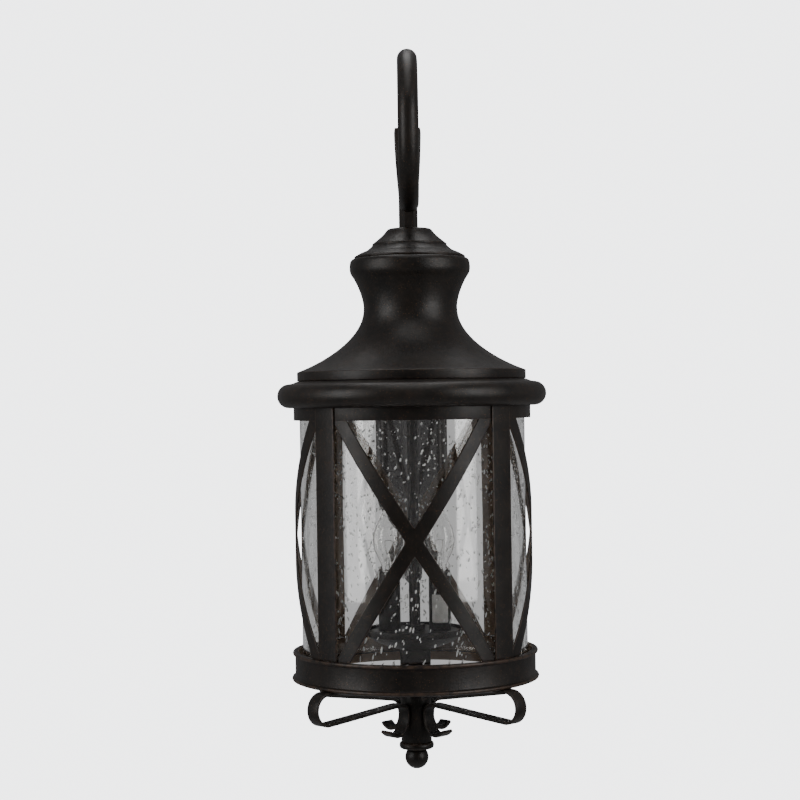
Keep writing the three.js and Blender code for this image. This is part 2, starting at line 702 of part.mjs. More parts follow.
// A candelabra lampholder on a hollow stalk, with a cup for the lamp's cap.
function lampholder() {
  const cup = SLEEVE_RADIUS - SLEEVE_WALL - TOUCH;
  const cupTop = SLEEVE_TOP - LAMPHOLDER_RECESS;
  const floor = LAMP_FOOT - LAMP_BASE_HEIGHT - TOUCH;
  const cupFoot = floor - LAMPHOLDER_FLOOR;
  const outline = [
    [LAMPHOLDER_BORE, SLEEVE_FOOT],
    [LAMPHOLDER_STALK_RADIUS, SLEEVE_FOOT],
    [LAMPHOLDER_STALK_RADIUS, cupFoot - 2],
    [cup, cupFoot],
    [cup, cupTop],
    [LAMP_BORE, cupTop],
    [LAMP_BORE, floor],
    [LAMPHOLDER_BORE, floor],
  ];
  return turned(outline, SMALL);
}

function lampBase() {
  const foot = LAMP_FOOT - LAMP_BASE_HEIGHT;
  const outline = [
    [0, foot],
    [LAMP_BASE_RADIUS - 2.6, foot],
    [LAMP_BASE_RADIUS, foot + 3.4],
    [LAMP_BASE_RADIUS, LAMP_FOOT],
    [0, LAMP_FOOT],
  ];
  return turned(outline, SMALL);
}

// A clear flame-shaped bulb, open at its neck.
function lampGlass() {
  const foot = LAMP_FOOT + TOUCH;
  const belly = foot + LAMP_HEIGHT * LAMP_BELLY;
  const tip = foot + LAMP_HEIGHT;
  const line = [
    [LAMP_NECK_RADIUS, foot],
    ...bow(
      [LAMP_NECK_RADIUS, foot + 2],
      [LAMP_NECK_RADIUS + 0.5, foot + 9],
      [LAMP_RADIUS, belly - 11],
      [LAMP_RADIUS, belly],
      4,
    ),
    ...bow([LAMP_RADIUS, belly], [LAMP_RADIUS, belly + 13], [3.4, tip - 12], [1.6, tip - 1], 4).slice(
      1,
    ),
    [0, tip],
  ];
  const inner = beside(line, LAMP_WALL).reverse();
  inner[0] = [0, tip - 2.4];
  return turned([...inner, ...line], 14);
}

// Glass stem, two support wires and the filament between them.
function lampFilament() {
  const foot = LAMP_FOOT + TOUCH;
  const stemTop = foot + STEM_HEIGHT;
  const wireFoot = stemTop - 2;
  const reach = FILAMENT_SPAN / 2;
  const t = WIRE_THICKNESS;
  const outline = [
    [0, foot],
    [3.4, foot],
    [2.4, stemTop - 6],
    [1.4, stemTop],
    [0, stemTop],
  ];
  const wires = [1, -1].flatMap((side) => [
    new THREE.BoxGeometry(reach + t, t, t).translate((side * reach) / 2, 0, wireFoot + t / 2),
    new THREE.BoxGeometry(t, t, WIRE_LENGTH).translate(side * reach, 0, wireFoot + WIRE_LENGTH / 2),
  ]);
  const filament = new THREE.BoxGeometry(FILAMENT_SPAN + t, t, t).translate(0, 0, wireFoot + WIRE_LENGTH);
  return join(turned(outline, 10), ...wires, filament);
}

add(lantern, "socket_dish", socketDish(), BRONZE);
add(lantern, "socket_plate", socketPlate(), BRONZE);
const dishNutFoot = SOCKET_PLATE_TOP + TOUCH;
add(lantern, "cluster_nut", nut(NUT_RADIUS, ROD_HOLE, dishNutFoot, dishNutFoot + NUT_HEIGHT), BRONZE);
for (const [name, side] of [
  ["left", -1],
  ["right", 1],
]) {
  const x = side * CANDLE_OFFSET;
  const sleeve = ring(SLEEVE_RADIUS - SLEEVE_WALL, SLEEVE_RADIUS, SLEEVE_FOOT, SLEEVE_TOP, SMALL);
  add(lantern, `candle_sleeve_${name}`, sleeve, BRONZE, x);
  add(lantern, `lampholder_${name}`, lampholder(), PHENOLIC, x);
  add(lantern, `lamp_base_${name}`, lampBase(), BRASS, x);
  add(lantern, `lamp_glass_${name}`, lampGlass(), GLASS, x);
  add(lantern, `lamp_filament_${name}`, lampFilament(), ZINC, x);
}
const labelFoot = SLEEVE_FOOT + LABEL_RISE;
const labelRadius = SLEEVE_RADIUS + TOUCH + LABEL_THICKNESS;
const label = wrapped(LABEL_WIDTH, LABEL_THICKNESS, labelFoot, labelFoot + LABEL_HEIGHT, labelRadius, 0, 8);
add(lantern, "sleeve_label", label, LABEL, CANDLE_OFFSET);

// ---------- cage ----------

function cageCross() {
  const height = BAND_FOOT - RAIL_TOP - 2 * TOUCH;
  const run = (Math.PI / PANELS) * BAND_RADIUS - BAR_WIDTH / 2 - CROSS_INSET;
  const slope = run / (height / 2);
  const width = CROSS_WIDTH * Math.hypot(1, slope);
  const strip = (lean) =>
    wrapped(width, STRAP_THICKNESS, RAIL_TOP + TOUCH, BAND_FOOT - TOUCH, BAND_RADIUS, lean, 2, 12);
  return join(strip(slope), strip(-slope));
}

const BAND_TOP = BAND_FOOT + BAND_HEIGHT;
add(lantern, "cage_top_band", ring(BAND_INSIDE, BAND_RADIUS, BAND_FOOT, BAND_TOP), BRONZE);
add(lantern, "cage_lower_rail", ring(BAND_INSIDE, BAND_RADIUS, RAIL_FOOT, RAIL_TOP), BRONZE);
const panelNames = ["front", "right", "back", "left"];
for (let i = 0; i < PANELS; i++) {
  const turn = (i * 2 * Math.PI) / PANELS;
  const cornerTurn = turn + Math.PI / PANELS;
  const barRadius = BAR_INSIDE + BAR_THICKNESS;
  const upright = wrapped(BAR_WIDTH, BAR_THICKNESS, RING_TOP + TOUCH, BAND_TOP, barRadius, 0, 4);
  add(lantern, `cage_cross_${panelNames[i]}`, cageCross(), BRONZE, 0, turn);
  add(lantern, `cage_bar_${i + 1}`, upright, BRONZE, 0, cornerTurn);
}

// ---------- base ring and glass ----------

function baseRing() {
  const topBeadCentre = RING_INSIDE + 0.1 + RING_TOP_BEAD;
  const footBeadCentre = RING_OUTSIDE + RING_FOOT_FLARE;
  const outline = [
    [RING_INSIDE, RING_FOOT],
    ...arc([footBeadCentre, RING_FOOT + RING_FOOT_BEAD], RING_FOOT_BEAD, -90, 90, 4),
    [RING_OUTSIDE, RING_FOOT + 2 * RING_FOOT_BEAD + 0.6],
    [RING_OUTSIDE, RING_TOP - 2 * RING_TOP_BEAD - 0.2],
    ...arc([topBeadCentre, RING_TOP - RING_TOP_BEAD], RING_TOP_BEAD, -90, 90, 4),
    [RING_INSIDE, RING_TOP],
  ];
  return turned(outline);
}

const seatOutside = RING_INSIDE - TOUCH;
const seat = ring(seatOutside - SEAT_WIDTH, seatOutside, SEAT_TOP - SHEET, SEAT_TOP);
const cylinder = ring(GLASS_RADIUS - GLASS_THICKNESS, GLASS_RADIUS, GLASS_FOOT, GLASS_TOP);
add(lantern, "base_ring", baseRing(), BRONZE);
add(lantern, "glass_seat", seat, BRONZE);
add(lantern, "glass_cylinder", cylinder, GLASS);

// ---------- hub, scrolls and finial ----------

// A flat strap: a tab under the ring, an outer curl, a run in to the hub, and a small inner curl.
function scroll() {
  const half = SCROLL_THICKNESS / 2;
  const top = RING_FOOT - TOUCH - half;
  const curlCentre = [SCROLL_REACH, top - SCROLL_CURL];
  const foot = top - 2 * SCROLL_CURL;
  const against = HUB_RADIUS + TOUCH + half;
  const meet = foot + SCROLL_RISE;
  const middle = [
    [SCROLL_REACH - SCROLL_TAB, top],
    ...arc(curlCentre, SCROLL_CURL, 90, -90, 12),
    ...bow([against + 12, meet], [against + 3, meet + 1], [against, meet - 2], [against, meet - 10], 4),
    ...bow(
      [against, meet - 10],
      [against, meet - 23],
      [against + 12, meet - 31],
      [SCROLL_TIP, meet - 20.5],
      7,
    ).slice(1),
  ];
  const outline = [...beside(middle, half), ...beside(middle, -half).reverse()];
  const shape = new THREE.Shape(outline.map(([r, z]) => new THREE.Vector2(r, z)));
  return new THREE.ExtrudeGeometry(shape, { depth: SCROLL_WIDTH, bevelEnabled: false })
    .translate(0, 0, -SCROLL_WIDTH / 2)
    .rotateX(Math.PI / 2);
}

function hubCap() {
  const top = HUB_FOOT + HUB_CAP_HEIGHT;
  const outline = [
    [ROD_HOLE, HUB_FOOT],
    [HUB_CAP_RADIUS - HUB_CAP_CHAMFER, HUB_FOOT],
    [HUB_CAP_RADIUS, HUB_FOOT + HUB_CAP_CHAMFER],
    [HUB_CAP_RADIUS, top - HUB_CAP_CHAMFER],
    [HUB_CAP_RADIUS - HUB_CAP_CHAMFER, top],
    [ROD_HOLE, top],
  ];
  return turned(outline, MIDDLE);
}

function finialBall() {
  const outline = [
    [0, BALL_CENTRE - BALL_RADIUS],
    ...arc([0, BALL_CENTRE], BALL_RADIUS, -72, 36, 6),
    [BALL_NECK_RADIUS, BALL_TOP - BALL_NECK_HEIGHT],
    [BALL_NECK_RADIUS, BALL_TOP],
    [ROD_HOLE, BALL_TOP],
    [ROD_HOLE, ROD_FOOT - BALL_HOLE_SPARE],
    [0, ROD_FOOT - BALL_HOLE_SPARE],
  ];
  return turned(outline, SMALL);
}

for (let i = 0; i < PANELS; i++) {
  add(lantern, `scroll_${i + 1}`, scroll(), BRONZE, 0, ((i + 0.5) * 2 * Math.PI) / PANELS);
}
const columnFoot = HUB_FOOT + HUB_CAP_HEIGHT + TOUCH;
const column = ring(HUB_RADIUS - HUB_WALL, HUB_RADIUS, columnFoot, HUB_TOP, MIDDLE);
add(lantern, "hub_column", column, BRONZE);
add(lantern, "hub_cap", hubCap(), BRONZE);
add(lantern, "finial_ball", finialBall(), BRONZE);

export default part;
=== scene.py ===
"""Outdoor wall lantern: smooth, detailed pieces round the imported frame, in metres."""

import math
import random

import bmesh
import bpy
from mathutils import Matrix, Vector, noise


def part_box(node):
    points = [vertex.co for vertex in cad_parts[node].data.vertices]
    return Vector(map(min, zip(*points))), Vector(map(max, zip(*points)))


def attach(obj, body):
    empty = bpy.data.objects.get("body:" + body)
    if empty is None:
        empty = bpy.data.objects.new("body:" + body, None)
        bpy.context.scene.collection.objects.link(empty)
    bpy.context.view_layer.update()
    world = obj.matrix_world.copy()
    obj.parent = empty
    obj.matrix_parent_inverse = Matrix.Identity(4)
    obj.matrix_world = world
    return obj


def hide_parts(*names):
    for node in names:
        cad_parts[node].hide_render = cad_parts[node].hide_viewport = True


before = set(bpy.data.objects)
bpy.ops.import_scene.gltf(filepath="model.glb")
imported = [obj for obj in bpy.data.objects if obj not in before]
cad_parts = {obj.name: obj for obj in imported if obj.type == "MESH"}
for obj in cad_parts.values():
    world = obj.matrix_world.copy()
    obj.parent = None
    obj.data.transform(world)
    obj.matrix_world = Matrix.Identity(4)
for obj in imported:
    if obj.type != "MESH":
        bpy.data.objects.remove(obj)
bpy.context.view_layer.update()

MM = 0.001
SEGMENTS = 160  # round a large turned piece
CORNER = math.radians(50)  # an outline turning more than this has a real corner
ROUNDING = 0.35 * MM  # radius put on such a corner
CURVE_STEP = 1.2 * MM  # spacing of points along a smooth outline

rod_low, rod_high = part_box("centre_rod")
AXIS = Vector(((rod_low.x + rod_high.x) / 2, (rod_low.y + rod_high.y) / 2, 0))


# ---------- materials ----------


class Shader:
    """A material and short ways to add nodes to it."""

    def __init__(self, name):
        self.material = bpy.data.materials.new(name)
        self.material.use_nodes = True
        self.tree = self.material.node_tree
        self.bsdf = self.tree.nodes["Principled BSDF"]
        self.place = self.add("ShaderNodeTexCoord").outputs["Object"]

    def add(self, kind, **settings):
        node = self.tree.nodes.new(kind)
        for key, value in settings.items():
            setattr(node, key, value)
        return node

    def link(self, a, b):
        self.tree.links.new(a, b)

    def set(self, **values):
        for key, value in values.items():
            self.bsdf.inputs[key.replace("_", " ")].default_value = value

    def noise(self, scale, detail=3.0, roughness=0.55, stretch=None):
        node = self.add("ShaderNodeTexNoise")
        node.inputs["Scale"].default_value = scale
        node.inputs["Detail"].default_value = detail
        node.inputs["Roughness"].default_value = roughness
        source = self.place
        if stretch:
            mapping = self.add("ShaderNodeMapping")
            mapping.inputs["Scale"].default_value = stretch
            self.link(self.place, mapping.inputs["Vector"])
            source = mapping.outputs["Vector"]
        self.link(source, node.inputs["Vector"])
        return node.outputs["Fac"]

    def cells(self, scale):
        node = self.add("ShaderNodeTexVoronoi", feature="F1")
        node.inputs["Scale"].default_value = scale
        self.link(self.place, node.inputs["Vector"])
        return node.outputs["Distance"]

    def ramp(self, value, low, high, start=0.0, end=1.0):
        node = self.add("ShaderNodeMapRange", clamp=True)
        for name, number in (("From Min", low), ("From Max", high), ("To Min", start), ("To Max", end)):
            node.inputs[name].default_value = number
        self.link(value, node.inputs["Value"])
        return node.outputs["Result"]

    def times(self, a, b):
        node = self.add("ShaderNodeMath", operation="MULTIPLY", use_clamp=True)
        self.link(a, node.inputs[0])
        if isinstance(b, float):
            node.inputs[1].default_value = b
        else:
            self.link(b, node.inputs[1])
        return node.outputs["Value"]

    def blend(self, share, a, b):
        """Colour a where share is 0 and b where it is 1; each is a colour or a socket."""
        node = self.add("ShaderNodeMix", data_type="RGBA")
        self.link(share, node.inputs["Factor"])
        for socket, colour in ((node.inputs["A"], a), (node.inputs["B"], b)):
            target = [s for s in node.inputs if s.type == "RGBA" and s.name == socket.name][0]
            if isinstance(colour, tuple):
                target.default_value = (*colour, 1)
            else:
                self.link(colour, target)
        return [s for s in node.outputs if s.type == "RGBA"][0]

    def bump(self, height, strength, distance):
        node = self.add("ShaderNodeBump")
        node.inputs["Strength"].default_value = strength
        node.inputs["Distance"].default_value = distance
        self.link(height, node.inputs["Height"])
        self.link(node.outputs["Normal"], self.bsdf.inputs["Normal"])

    def colour(self, socket):
        self.link(socket, self.bsdf.inputs["Base Color"])

    def rough(self, socket):
        self.link(socket, self.bsdf.inputs["Roughness"])


def bronze(name="oil_rubbed_bronze", dark=(0.0085, 0.0068, 0.0058), light=(0.019, 0.0145, 0.0115)):
    """Dark hand-rubbed paint: mottled, flecked with copper, worn through along the edges, and painted
    lighter brown on faces turned to the lantern's axis as painted light on the lit insides.
    """
    s = Shader(name)
    mottled = s.blend(s.ramp(s.noise(38, 5), 0.38, 0.68), dark, light)
    rubbed = s.blend(s.ramp(s.noise(210, 4), 0.52, 0.72, 0, 0.55), mottled, (0.034, 0.021, 0.014))
    fleck = s.times(s.ramp(s.cells(560), 0.2, 0.1), s.ramp(s.noise(90, 2), 0.46, 0.58))
    flecked = s.blend(s.times(fleck, 0.8), rubbed, (0.16, 0.085, 0.04))
    wear = s.add("ShaderNodeAttribute", attribute_name="wear").outputs["Fac"]
    broken = s.times(s.ramp(wear, 0.15, 0.8), s.ramp(s.noise(170, 4), 0.36, 0.56))
    # inner: faces turned to the axis get a lighter brown, painted light standing in for the lit insides of
    # the cage
    inner = s.add("ShaderNodeAttribute", attribute_name="inner").outputs["Fac"]
    painted_inside_light = s.blend(s.times(inner, 0.85), flecked, (0.2, 0.145, 0.1))
    s.colour(s.blend(s.times(broken, 0.75), painted_inside_light, (0.068, 0.041, 0.027)))
    s.rough(s.ramp(s.noise(70, 4), 0.3, 0.7, 0.36, 0.48))
    s.set(Metallic=0.2, Specular_IOR_Level=0.42)
    s.bump(s.noise(520, 4, 0.7), 0.55, 0.3 * MM)
    return s.material


def clear_glass(name, tint, wave, clear=1.0):
    s = Shader(name)
    s.colour(s.blend(s.noise(14, 2), tint, tuple(c * 0.97 for c in tint)))
    s.set(Roughness=0.02, IOR=1.45, Transmission_Weight=clear)
    s.bump(s.noise(30, 2, 0.4, stretch=(1, 1, 0.45)), wave, 1 * MM)
    return s.material


def plated(name, colour, roughness=0.32):
    s = Shader(name)
    dull = tuple(c * 0.72 for c in colour)
    s.colour(s.blend(s.ramp(s.noise(160, 4), 0.35, 0.7), colour, dull))
    s.rough(s.ramp(s.noise(420, 3), 0.3, 0.7, roughness - 0.06, roughness + 0.12))
    s.set(Metallic=1.0)
    s.bump(s.noise(900, 2), 0.1, 0.08 * MM)
    return s.material


def matte(name, colour, roughness=0.6, grain=600):
    s = Shader(name)
    s.colour(s.blend(s.ramp(s.noise(grain / 4, 4), 0.35, 0.7), colour, tuple(c * 0.8 for c in colour)))
    s.rough(s.ramp(s.noise(grain, 3), 0.3, 0.7, roughness - 0.08, roughness + 0.08))
    s.bump(s.noise(grain, 3), 0.2, 0.1 * MM)
    return s.material


BRONZE = bronze()
SEEDED = clear_glass("seeded_wall", (0.93, 0.925, 0.915), 0.035)
# the seeds are mostly opaque pale white, with little transmission: painted reflection standing in for the
# bright rims of air bubbles
SEED_PAINTED_REFLECTION = clear_glass("seed_painted_reflection", (0.97, 0.97, 0.96), 0.05, 0.15)
BULB = clear_glass("bulb_glass", (0.985, 0.985, 0.98), 0.05)
ZINC = plated("zinc_plate", (0.52, 0.53, 0.55))
TUNGSTEN = plated("filament_wire", (0.42, 0.40, 0.37), 0.28)
BRASS = plated("lamp_cap", (0.60, 0.44, 0.20), 0.26)
RUBBER = matte("black_rubber", (0.018, 0.018, 0.019), 0.75)
PHENOLIC = matte("phenolic", (0.030, 0.026, 0.023), 0.5)
PAPER = matte("label_paper", (0.74, 0.74, 0.72), 0.55, 900)
GREEN = plated("green_plate", (0.05, 0.33, 0.13))


# ---------- mesh helpers ----------


def mark_wear_and_inside_light(mesh, paints_inside_light):
    """Writes how sharply each point stands out and, on cage pieces, how squarely it faces the axis, which
    the bronze turns into painted light on the insides.
    """
    dull, bare = math.radians(18), math.radians(38)
    layer = mesh.verts.layers.float.new("wear")
    inner = mesh.verts.layers.float.new("inner")
    mesh.normal_update()
    for v in mesh.verts:
        out = Vector((v.co.x - AXIS.x, v.co.y - AXIS.y, 0))
        # inner feeds painted light: the bronze paints faces turned to the axis lighter brown, as if lit
        if paints_inside_light and out.length > 60 * MM:
            v[inner] = min(1.0, max(0.0, -3 * v.normal.dot(out.normalized()) - 1))
        turns = [e.calc_face_angle_signed(0.0) for e in v.link_edges if len(e.link_faces) == 2]
        share = (max(turns, default=0.0) - dull) / (bare - dull)
        v[layer] = min(1.0, max(0.0, share))


def made(name, mesh, material, body, nodes=(), plain=False):
    """Turns a bmesh into a piece that rides on a body and stands for CAD nodes."""
    bmesh.ops.remove_doubles(mesh, verts=mesh.verts, dist=1e-7)
    if not plain:
        bmesh.ops.recalc_face_normals(mesh, faces=mesh.faces)
        mark_wear_and_inside_light(mesh, body == "cage")
    data = bpy.data.meshes.new(name)
    mesh.to_mesh(data)
    mesh.free()
    data.shade_smooth()
    data.set_sharp_from_angle(angle=math.radians(40))
    data.materials.append(material)
    piece = bpy.data.objects.new(name, data)
    bpy.context.scene.collection.objects.link(piece)
    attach(piece, body)
    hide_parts(*nodes)
    return piece


def chains(links):
    """Splits a graph of points, each with one or two neighbours, into chains."""
    left = set(links)
    found = []
    while left:
        ends = [p for p in left if len(links[p]) == 1]
        at = min(ends or left)
        chain = []
        while at is not None:
            chain.append(at)
            left.discard(at)
            at = next((p for p in sorted(links[at]) if p in left), None)
        found.append(chain)
    return found


def cad_outline(node, place):
    """The outline of a CAD node where place(point) = (across, up, off) has off = 0."""
    mesh = bmesh.new()
    mesh.from_mesh(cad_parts[node].data)
    bmesh.ops.remove_doubles(mesh, verts=mesh.verts, dist=3e-6)
    mesh.verts.index_update()
    flat = {}
    for v in mesh.verts:
        across, up, off = place(v.co)
        if abs(off) < 1e-5 and across > -1e-5:
            flat[v.index] = Vector((across, up))
    links = {i: set() for i in flat}
    for e in mesh.edges:
        a, b = (v.index for v in e.verts)
        inside = all(all(v.index in flat for v in f.verts) for f in e.link_faces)
        if a in flat and b in flat and not inside:
            links[a].add(b)
            links[b].add(a)
    mesh.free()
    parts = [[flat[i] for i in chain] for chain in chains(links)]
    outline = parts.pop(0)
    while parts:
        def gap(part):
            return min((part[0] - outline[-1]).length, (part[-1] - outline[-1]).length)

        nearest = min(parts, key=gap)
        parts.remove(nearest)
        if (nearest[-1] - outline[-1]).length < (nearest[0] - outline[-1]).length:
            nearest.reverse()
        outline += nearest
    return outline


def softened(outline, closed=True):
    """The outline with its round stretches made smooth and its corners rounded off."""
    count = len(outline)

    def at(i):
        return outline[i % count] if closed else outline[min(max(i, 0), count - 1)]

    def turn(i):
        before, after = at(i) - at(i - 1), at(i + 1) - at(i)
        if before.length < 1e-9 or after.length < 1e-9:
            return math.pi
        return abs(before.angle_signed(after))

    corner = [turn(i) > CORNER for i in range(count)]
    points = []
    for i in range(count if closed else count - 1):
        a, b = at(i), at(i + 1)
        last = (i + 1) % count
        run = (b - a).length
        reach = min(ROUNDING, run * 0.3)
        rounds_a = corner[i] and (closed or 0 < i < count - 1)
        rounds_b = corner[last] and (closed or 0 < i + 1 < count - 1)
        start = a + (b - a) * (reach / run) if rounds_a else a
        end = b + (a - b) * (reach / run) if rounds_b else b
        pull_a = (b - a) if corner[i] else (b - at(i - 1)).normalized() * run
        pull_b = (b - a) if corner[last] else (at(i + 2) - a).normalized() * run
        straight = corner[i] and corner[last]
        steps = 1 if straight else max(1, min(8, round(run / CURVE_STEP)))
        for k in range(steps):
            t = k / steps
            t2, t3 = t * t, t * t * t
            p = start * (2 * t3 - 3 * t2 + 1) + end * (3 * t2 - 2 * t3)
            p += pull_a * (t3 - 2 * t2 + t) + pull_b * (t3 - t2)
            points.append(p)
        if rounds_b:
            after = at(i + 2)
            reach_b = min(ROUNDING, (after - b).length * 0.3)
            leave = b + (after - b).normalized() * reach_b
            points += [end, end * 0.25 + b * 0.5 + leave * 0.25]
        elif not closed and i == count - 2:
            points.append(b)
    return points


def spun(name, outline, centre, material, body, nodes=(), closed=True, segments=SEGMENTS):
    """A turned piece about an upright line through centre, from (radius, height) points."""
    mesh = bmesh.new()
    rings = []
    for k in range(segments):
        a = 2 * math.pi * k / segments
        out = Vector((math.sin(a), -math.cos(a), 0))
        rings.append([mesh.verts.new(centre + out * max(p.x, 0) + Vector((0, 0, p.y))) for p in outline])
    count = len(outline)
    for k in range(segments):
        one, two = rings[k], rings[(k + 1) % segments]
        for i in range(count if closed else count - 1):
            j = (i + 1) % count
            mesh.faces.new((one[i], two[i], two[j], one[j]))
    bmesh.ops.remove_doubles(mesh, verts=mesh.verts, dist=1e-7)
    return made(name, mesh, material, body, nodes)


def respun(node, material, body, segments=SEGMENTS):
    """A smooth turned piece with a CAD node's own outline."""
    low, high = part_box(node)
    centre = Vector(((low.x + high.x) / 2, (low.y + high.y) / 2, 0))
    outline = cad_outline(node, lambda p: (centre.y - p.y, p.z, p.x - centre.x))
    closed = min(p.x for p in outline) > 1e-5
    if not closed:
        ends = [i for i, p in enumerate(outline) if p.x < 1e-5]
        if ends[-1] - ends[0] == 1:
            outline = outline[ends[1]:] + outline[: ends[1]]
    smooth = softened(outline, closed)
    return spun(node + "_smooth", smooth, centre, material, body, [node], closed, segments)


def lofted(name, rings, material, body, nodes=()):
    """A closed skin over rings of points, capped at both ends."""
    mesh = bmesh.new()
    loops = [[mesh.verts.new(p) for p in ring] for ring in rings]
    count = len(loops[0])
    for one, two in zip(loops, loops[1:]):
        for i in range(count):
            j = (i + 1) % count
            mesh.faces.new((one[i], one[j], two[j], two[i]))
    mesh.faces.new(loops[0])
    mesh.faces.new(loops[-1])
    return made(name, mesh, material, body, nodes)


def bow(start, pull_a, pull_b, end, count):
    """Points of a cubic curve."""
    points = []
    for k in range(count + 1):
        t = k / count
        weights = ((1 - t) ** 3, 3 * t * (1 - t) ** 2, 3 * t * t * (1 - t), t**3)
        corners = (start, pull_a, pull_b, end)
        points.append(Vector([sum(w * c[i] for w, c in zip(weights, corners)) for i in (0, 1)]))
    return points


def eased(points, corners, reach, count=4):
    """A polygon with some of its corners filleted."""
    result = []
    for i, p in enumerate(points):
        if i not in corners:
            result.append(p)
            continue
        before = (points[i - 1] - p).normalized() * reach
        after = (points[(i + 1) % len(points)] - p).normalized() * reach
        for k in range(count + 1):
            t = k / count
            result.append(p + before * (1 - t) ** 2 + after * t * t)
    return result


WORN = 0.7 * MM  # how far in from an edge the paint is rubbed


def wrapped_plate(name, outline, outer, thickness, level, turn, body, nodes, material=BRONZE,
                  centre=AXIS, bevel=0.45 * MM, step=3 * MM):
    """A flat cut-out of (along, up) points, bent round an upright line at the front, then turned."""
    mesh = bmesh.new()
    face = mesh.faces.new([mesh.verts.new((p.x, 0, p.y)) for p in outline])
    pushed = bmesh.ops.extrude_face_region(mesh, geom=[face])["geom"]
    moved = [g for g in pushed if isinstance(g, bmesh.types.BMVert)]
    bmesh.ops.translate(mesh, verts=moved, vec=(0, -thickness, 0))
    mesh.normal_update()
    rim = [e for e in mesh.edges if len(e.link_faces) == 2 and e.calc_face_angle() > 1.2
           and not (e.verts[0].co - e.verts[1].co).normalized().y ** 2 > 0.5]
    bmesh.ops.bevel(mesh, geom=rim, offset=bevel, segments=2, profile=0.5, affect="EDGES")
    flats = sorted(mesh.faces, key=lambda f: f.calc_area())[-2:]
    bmesh.ops.inset_individual(mesh, faces=flats, thickness=WORN, use_even_offset=True)
    widest = max(abs(p.x) for p in outline)
    cuts = int(widest / step)
    for k in range(-cuts, cuts + 1):
        everything = mesh.verts[:] + mesh.edges[:] + mesh.faces[:]
        place = (k * step, 0, 0)
        bmesh.ops.bisect_plane(mesh, geom=everything, dist=1e-7, plane_co=place, plane_no=(1, 0, 0))
    spin = Matrix.Rotation(turn, 3, "Z")
    for v in mesh.verts:
        angle = v.co.x / outer
        reach = outer - thickness - v.co.y
        bent = Vector((reach * math.sin(angle), -reach * math.cos(angle), v.co.z + level))
        v.co = spin @ bent + centre
    return made(name, mesh, material, body, nodes)


def keep(node, material, bevel=0.4 * MM):
    """A CAD node that stays, with its edges rounded."""
    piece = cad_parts[node]
    piece.data.materials.clear()
    piece.data.materials.append(material)
    if bevel:
        rounding = piece.modifiers.new("edges", "BEVEL")
        rounding.width = bevel
        rounding.segments = 2
        rounding.limit_method = "ANGLE"
        rounding.angle_limit = math.radians(40)


# ---------- roof ----------

for node in ("roof_cap", "roof_bell", "roof_rim"):
    respun(node, BRONZE, "fixture")

# ---------- cage, ring and glass ----------

for node in ("cage_top_band", "cage_lower_rail", "base_ring", "glass_seat"):
    respun(node, BRONZE, "cage")
for node in ("hub_column", "hub_cap"):
    respun(node, BRONZE, "cage", 72)
respun("finial_ball", BRONZE, "finial", 72)

CROSS_WIDTH = 12 * MM
LAP = 0.6 * MM  # the cross runs this far into the bands it is welded to
CROSS_SLOPE = 0.65
BAR_WIDTH = 21.5 * MM
STRAP = 1.4 * MM


def cross_outline(height):
    """The X of one panel, laid flat."""
    half = height / 2
    wide = CROSS_WIDTH / 2 * math.hypot(1, CROSS_SLOPE)
    run = CROSS_SLOPE * half
    quarter = [(0, wide / CROSS_SLOPE), (run - wide, half), (run + wide, half), (wide, 0)]
    points = [Vector(p) for p in quarter]
    points += [Vector((x, -z)) for x, z in reversed(quarter[:3])]
    points += [Vector((-x, -z)) for x, z in quarter[1:3]] + [Vector((-wide, 0))]
    points += [Vector((-x, z)) for x, z in reversed(quarter[1:3])]
    notches = {i for i, p in enumerate(points) if abs(p.x) < 1e-6 or abs(p.y) < 1e-6}
    return eased(points, notches, 1.6 * MM)


band_low, band_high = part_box("cage_top_band")
band_radius = (band_high.x - band_low.x) / 2
bar_low, bar_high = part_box("cage_bar_1")
cross_low, cross_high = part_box("cage_cross_front")
bar_radius = band_radius + 0.3 * MM + STRAP
bar_height = bar_high.z - bar_low.z
upright = [Vector(p) for p in (
    (-BAR_WIDTH / 2, -bar_height / 2), (BAR_WIDTH / 2, -bar_height / 2),
    (BAR_WIDTH / 2, bar_height / 2), (-BAR_WIDTH / 2, bar_height / 2))]
for i, side in enumerate(("front", "right", "back", "left")):
    turn = i * math.pi / 2
    wrapped_plate(f"cross_{side}", cross_outline(cross_high.z - cross_low.z + 2 * LAP), band_radius, STRAP,
                  (cross_low.z + cross_high.z) / 2, turn, "cage", [f"cage_cross_{side}"])
    wrapped_plate(f"bar_{i + 1}", upright, bar_radius, STRAP, (bar_low.z + bar_high.z) / 2,
                  turn + math.pi / 4, "cage", [f"cage_bar_{i + 1}"])

glass_low, glass_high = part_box("glass_cylinder")
GLASS_RADIUS = (glass_high.x - glass_low.x) / 2
GLASS_WALL = 3 * MM


def glass_skin(mesh):
    """The glass wall, its inside slightly wavy and its rims fire-polished."""
    wave = 0.12 * MM
    rings = 90
    columns = []
    for k in range(SEGMENTS):
        a = 2 * math.pi * k / SEGMENTS
        out = Vector((math.sin(a), -math.cos(a), 0))
        column = []
        for face, inset in ((0, 0.0), (1, GLASS_WALL)):
            for i in range(rings + 1) if face == 0 else range(rings, -1, -1):
                z = glass_low.z + (glass_high.z - glass_low.z) * i / rings
                spot = Vector((out.x * 2.6, out.y * 2.6, z * 16 + 9 * face))
                dent = wave * (0.5 + 0.5 * noise.noise(spot))
                edge = 0.7 * MM if i in (0, rings) else 0
                reach = GLASS_RADIUS - inset + (dent + edge) * (1 if face else -1)
                column.append(mesh.verts.new(AXIS + out * reach + Vector((0, 0, z))))
        columns.append(column)
    count = len(columns[0])
    for k in range(SEGMENTS):
        one, two = columns[k], columns[(k + 1) % SEGMENTS]
        for i in range(count):
            j = (i + 1) % count
            mesh.faces.new((one[i], two[i], two[j], one[j]))
    bmesh.ops.recalc_face_normals(mesh, faces=mesh.faces)


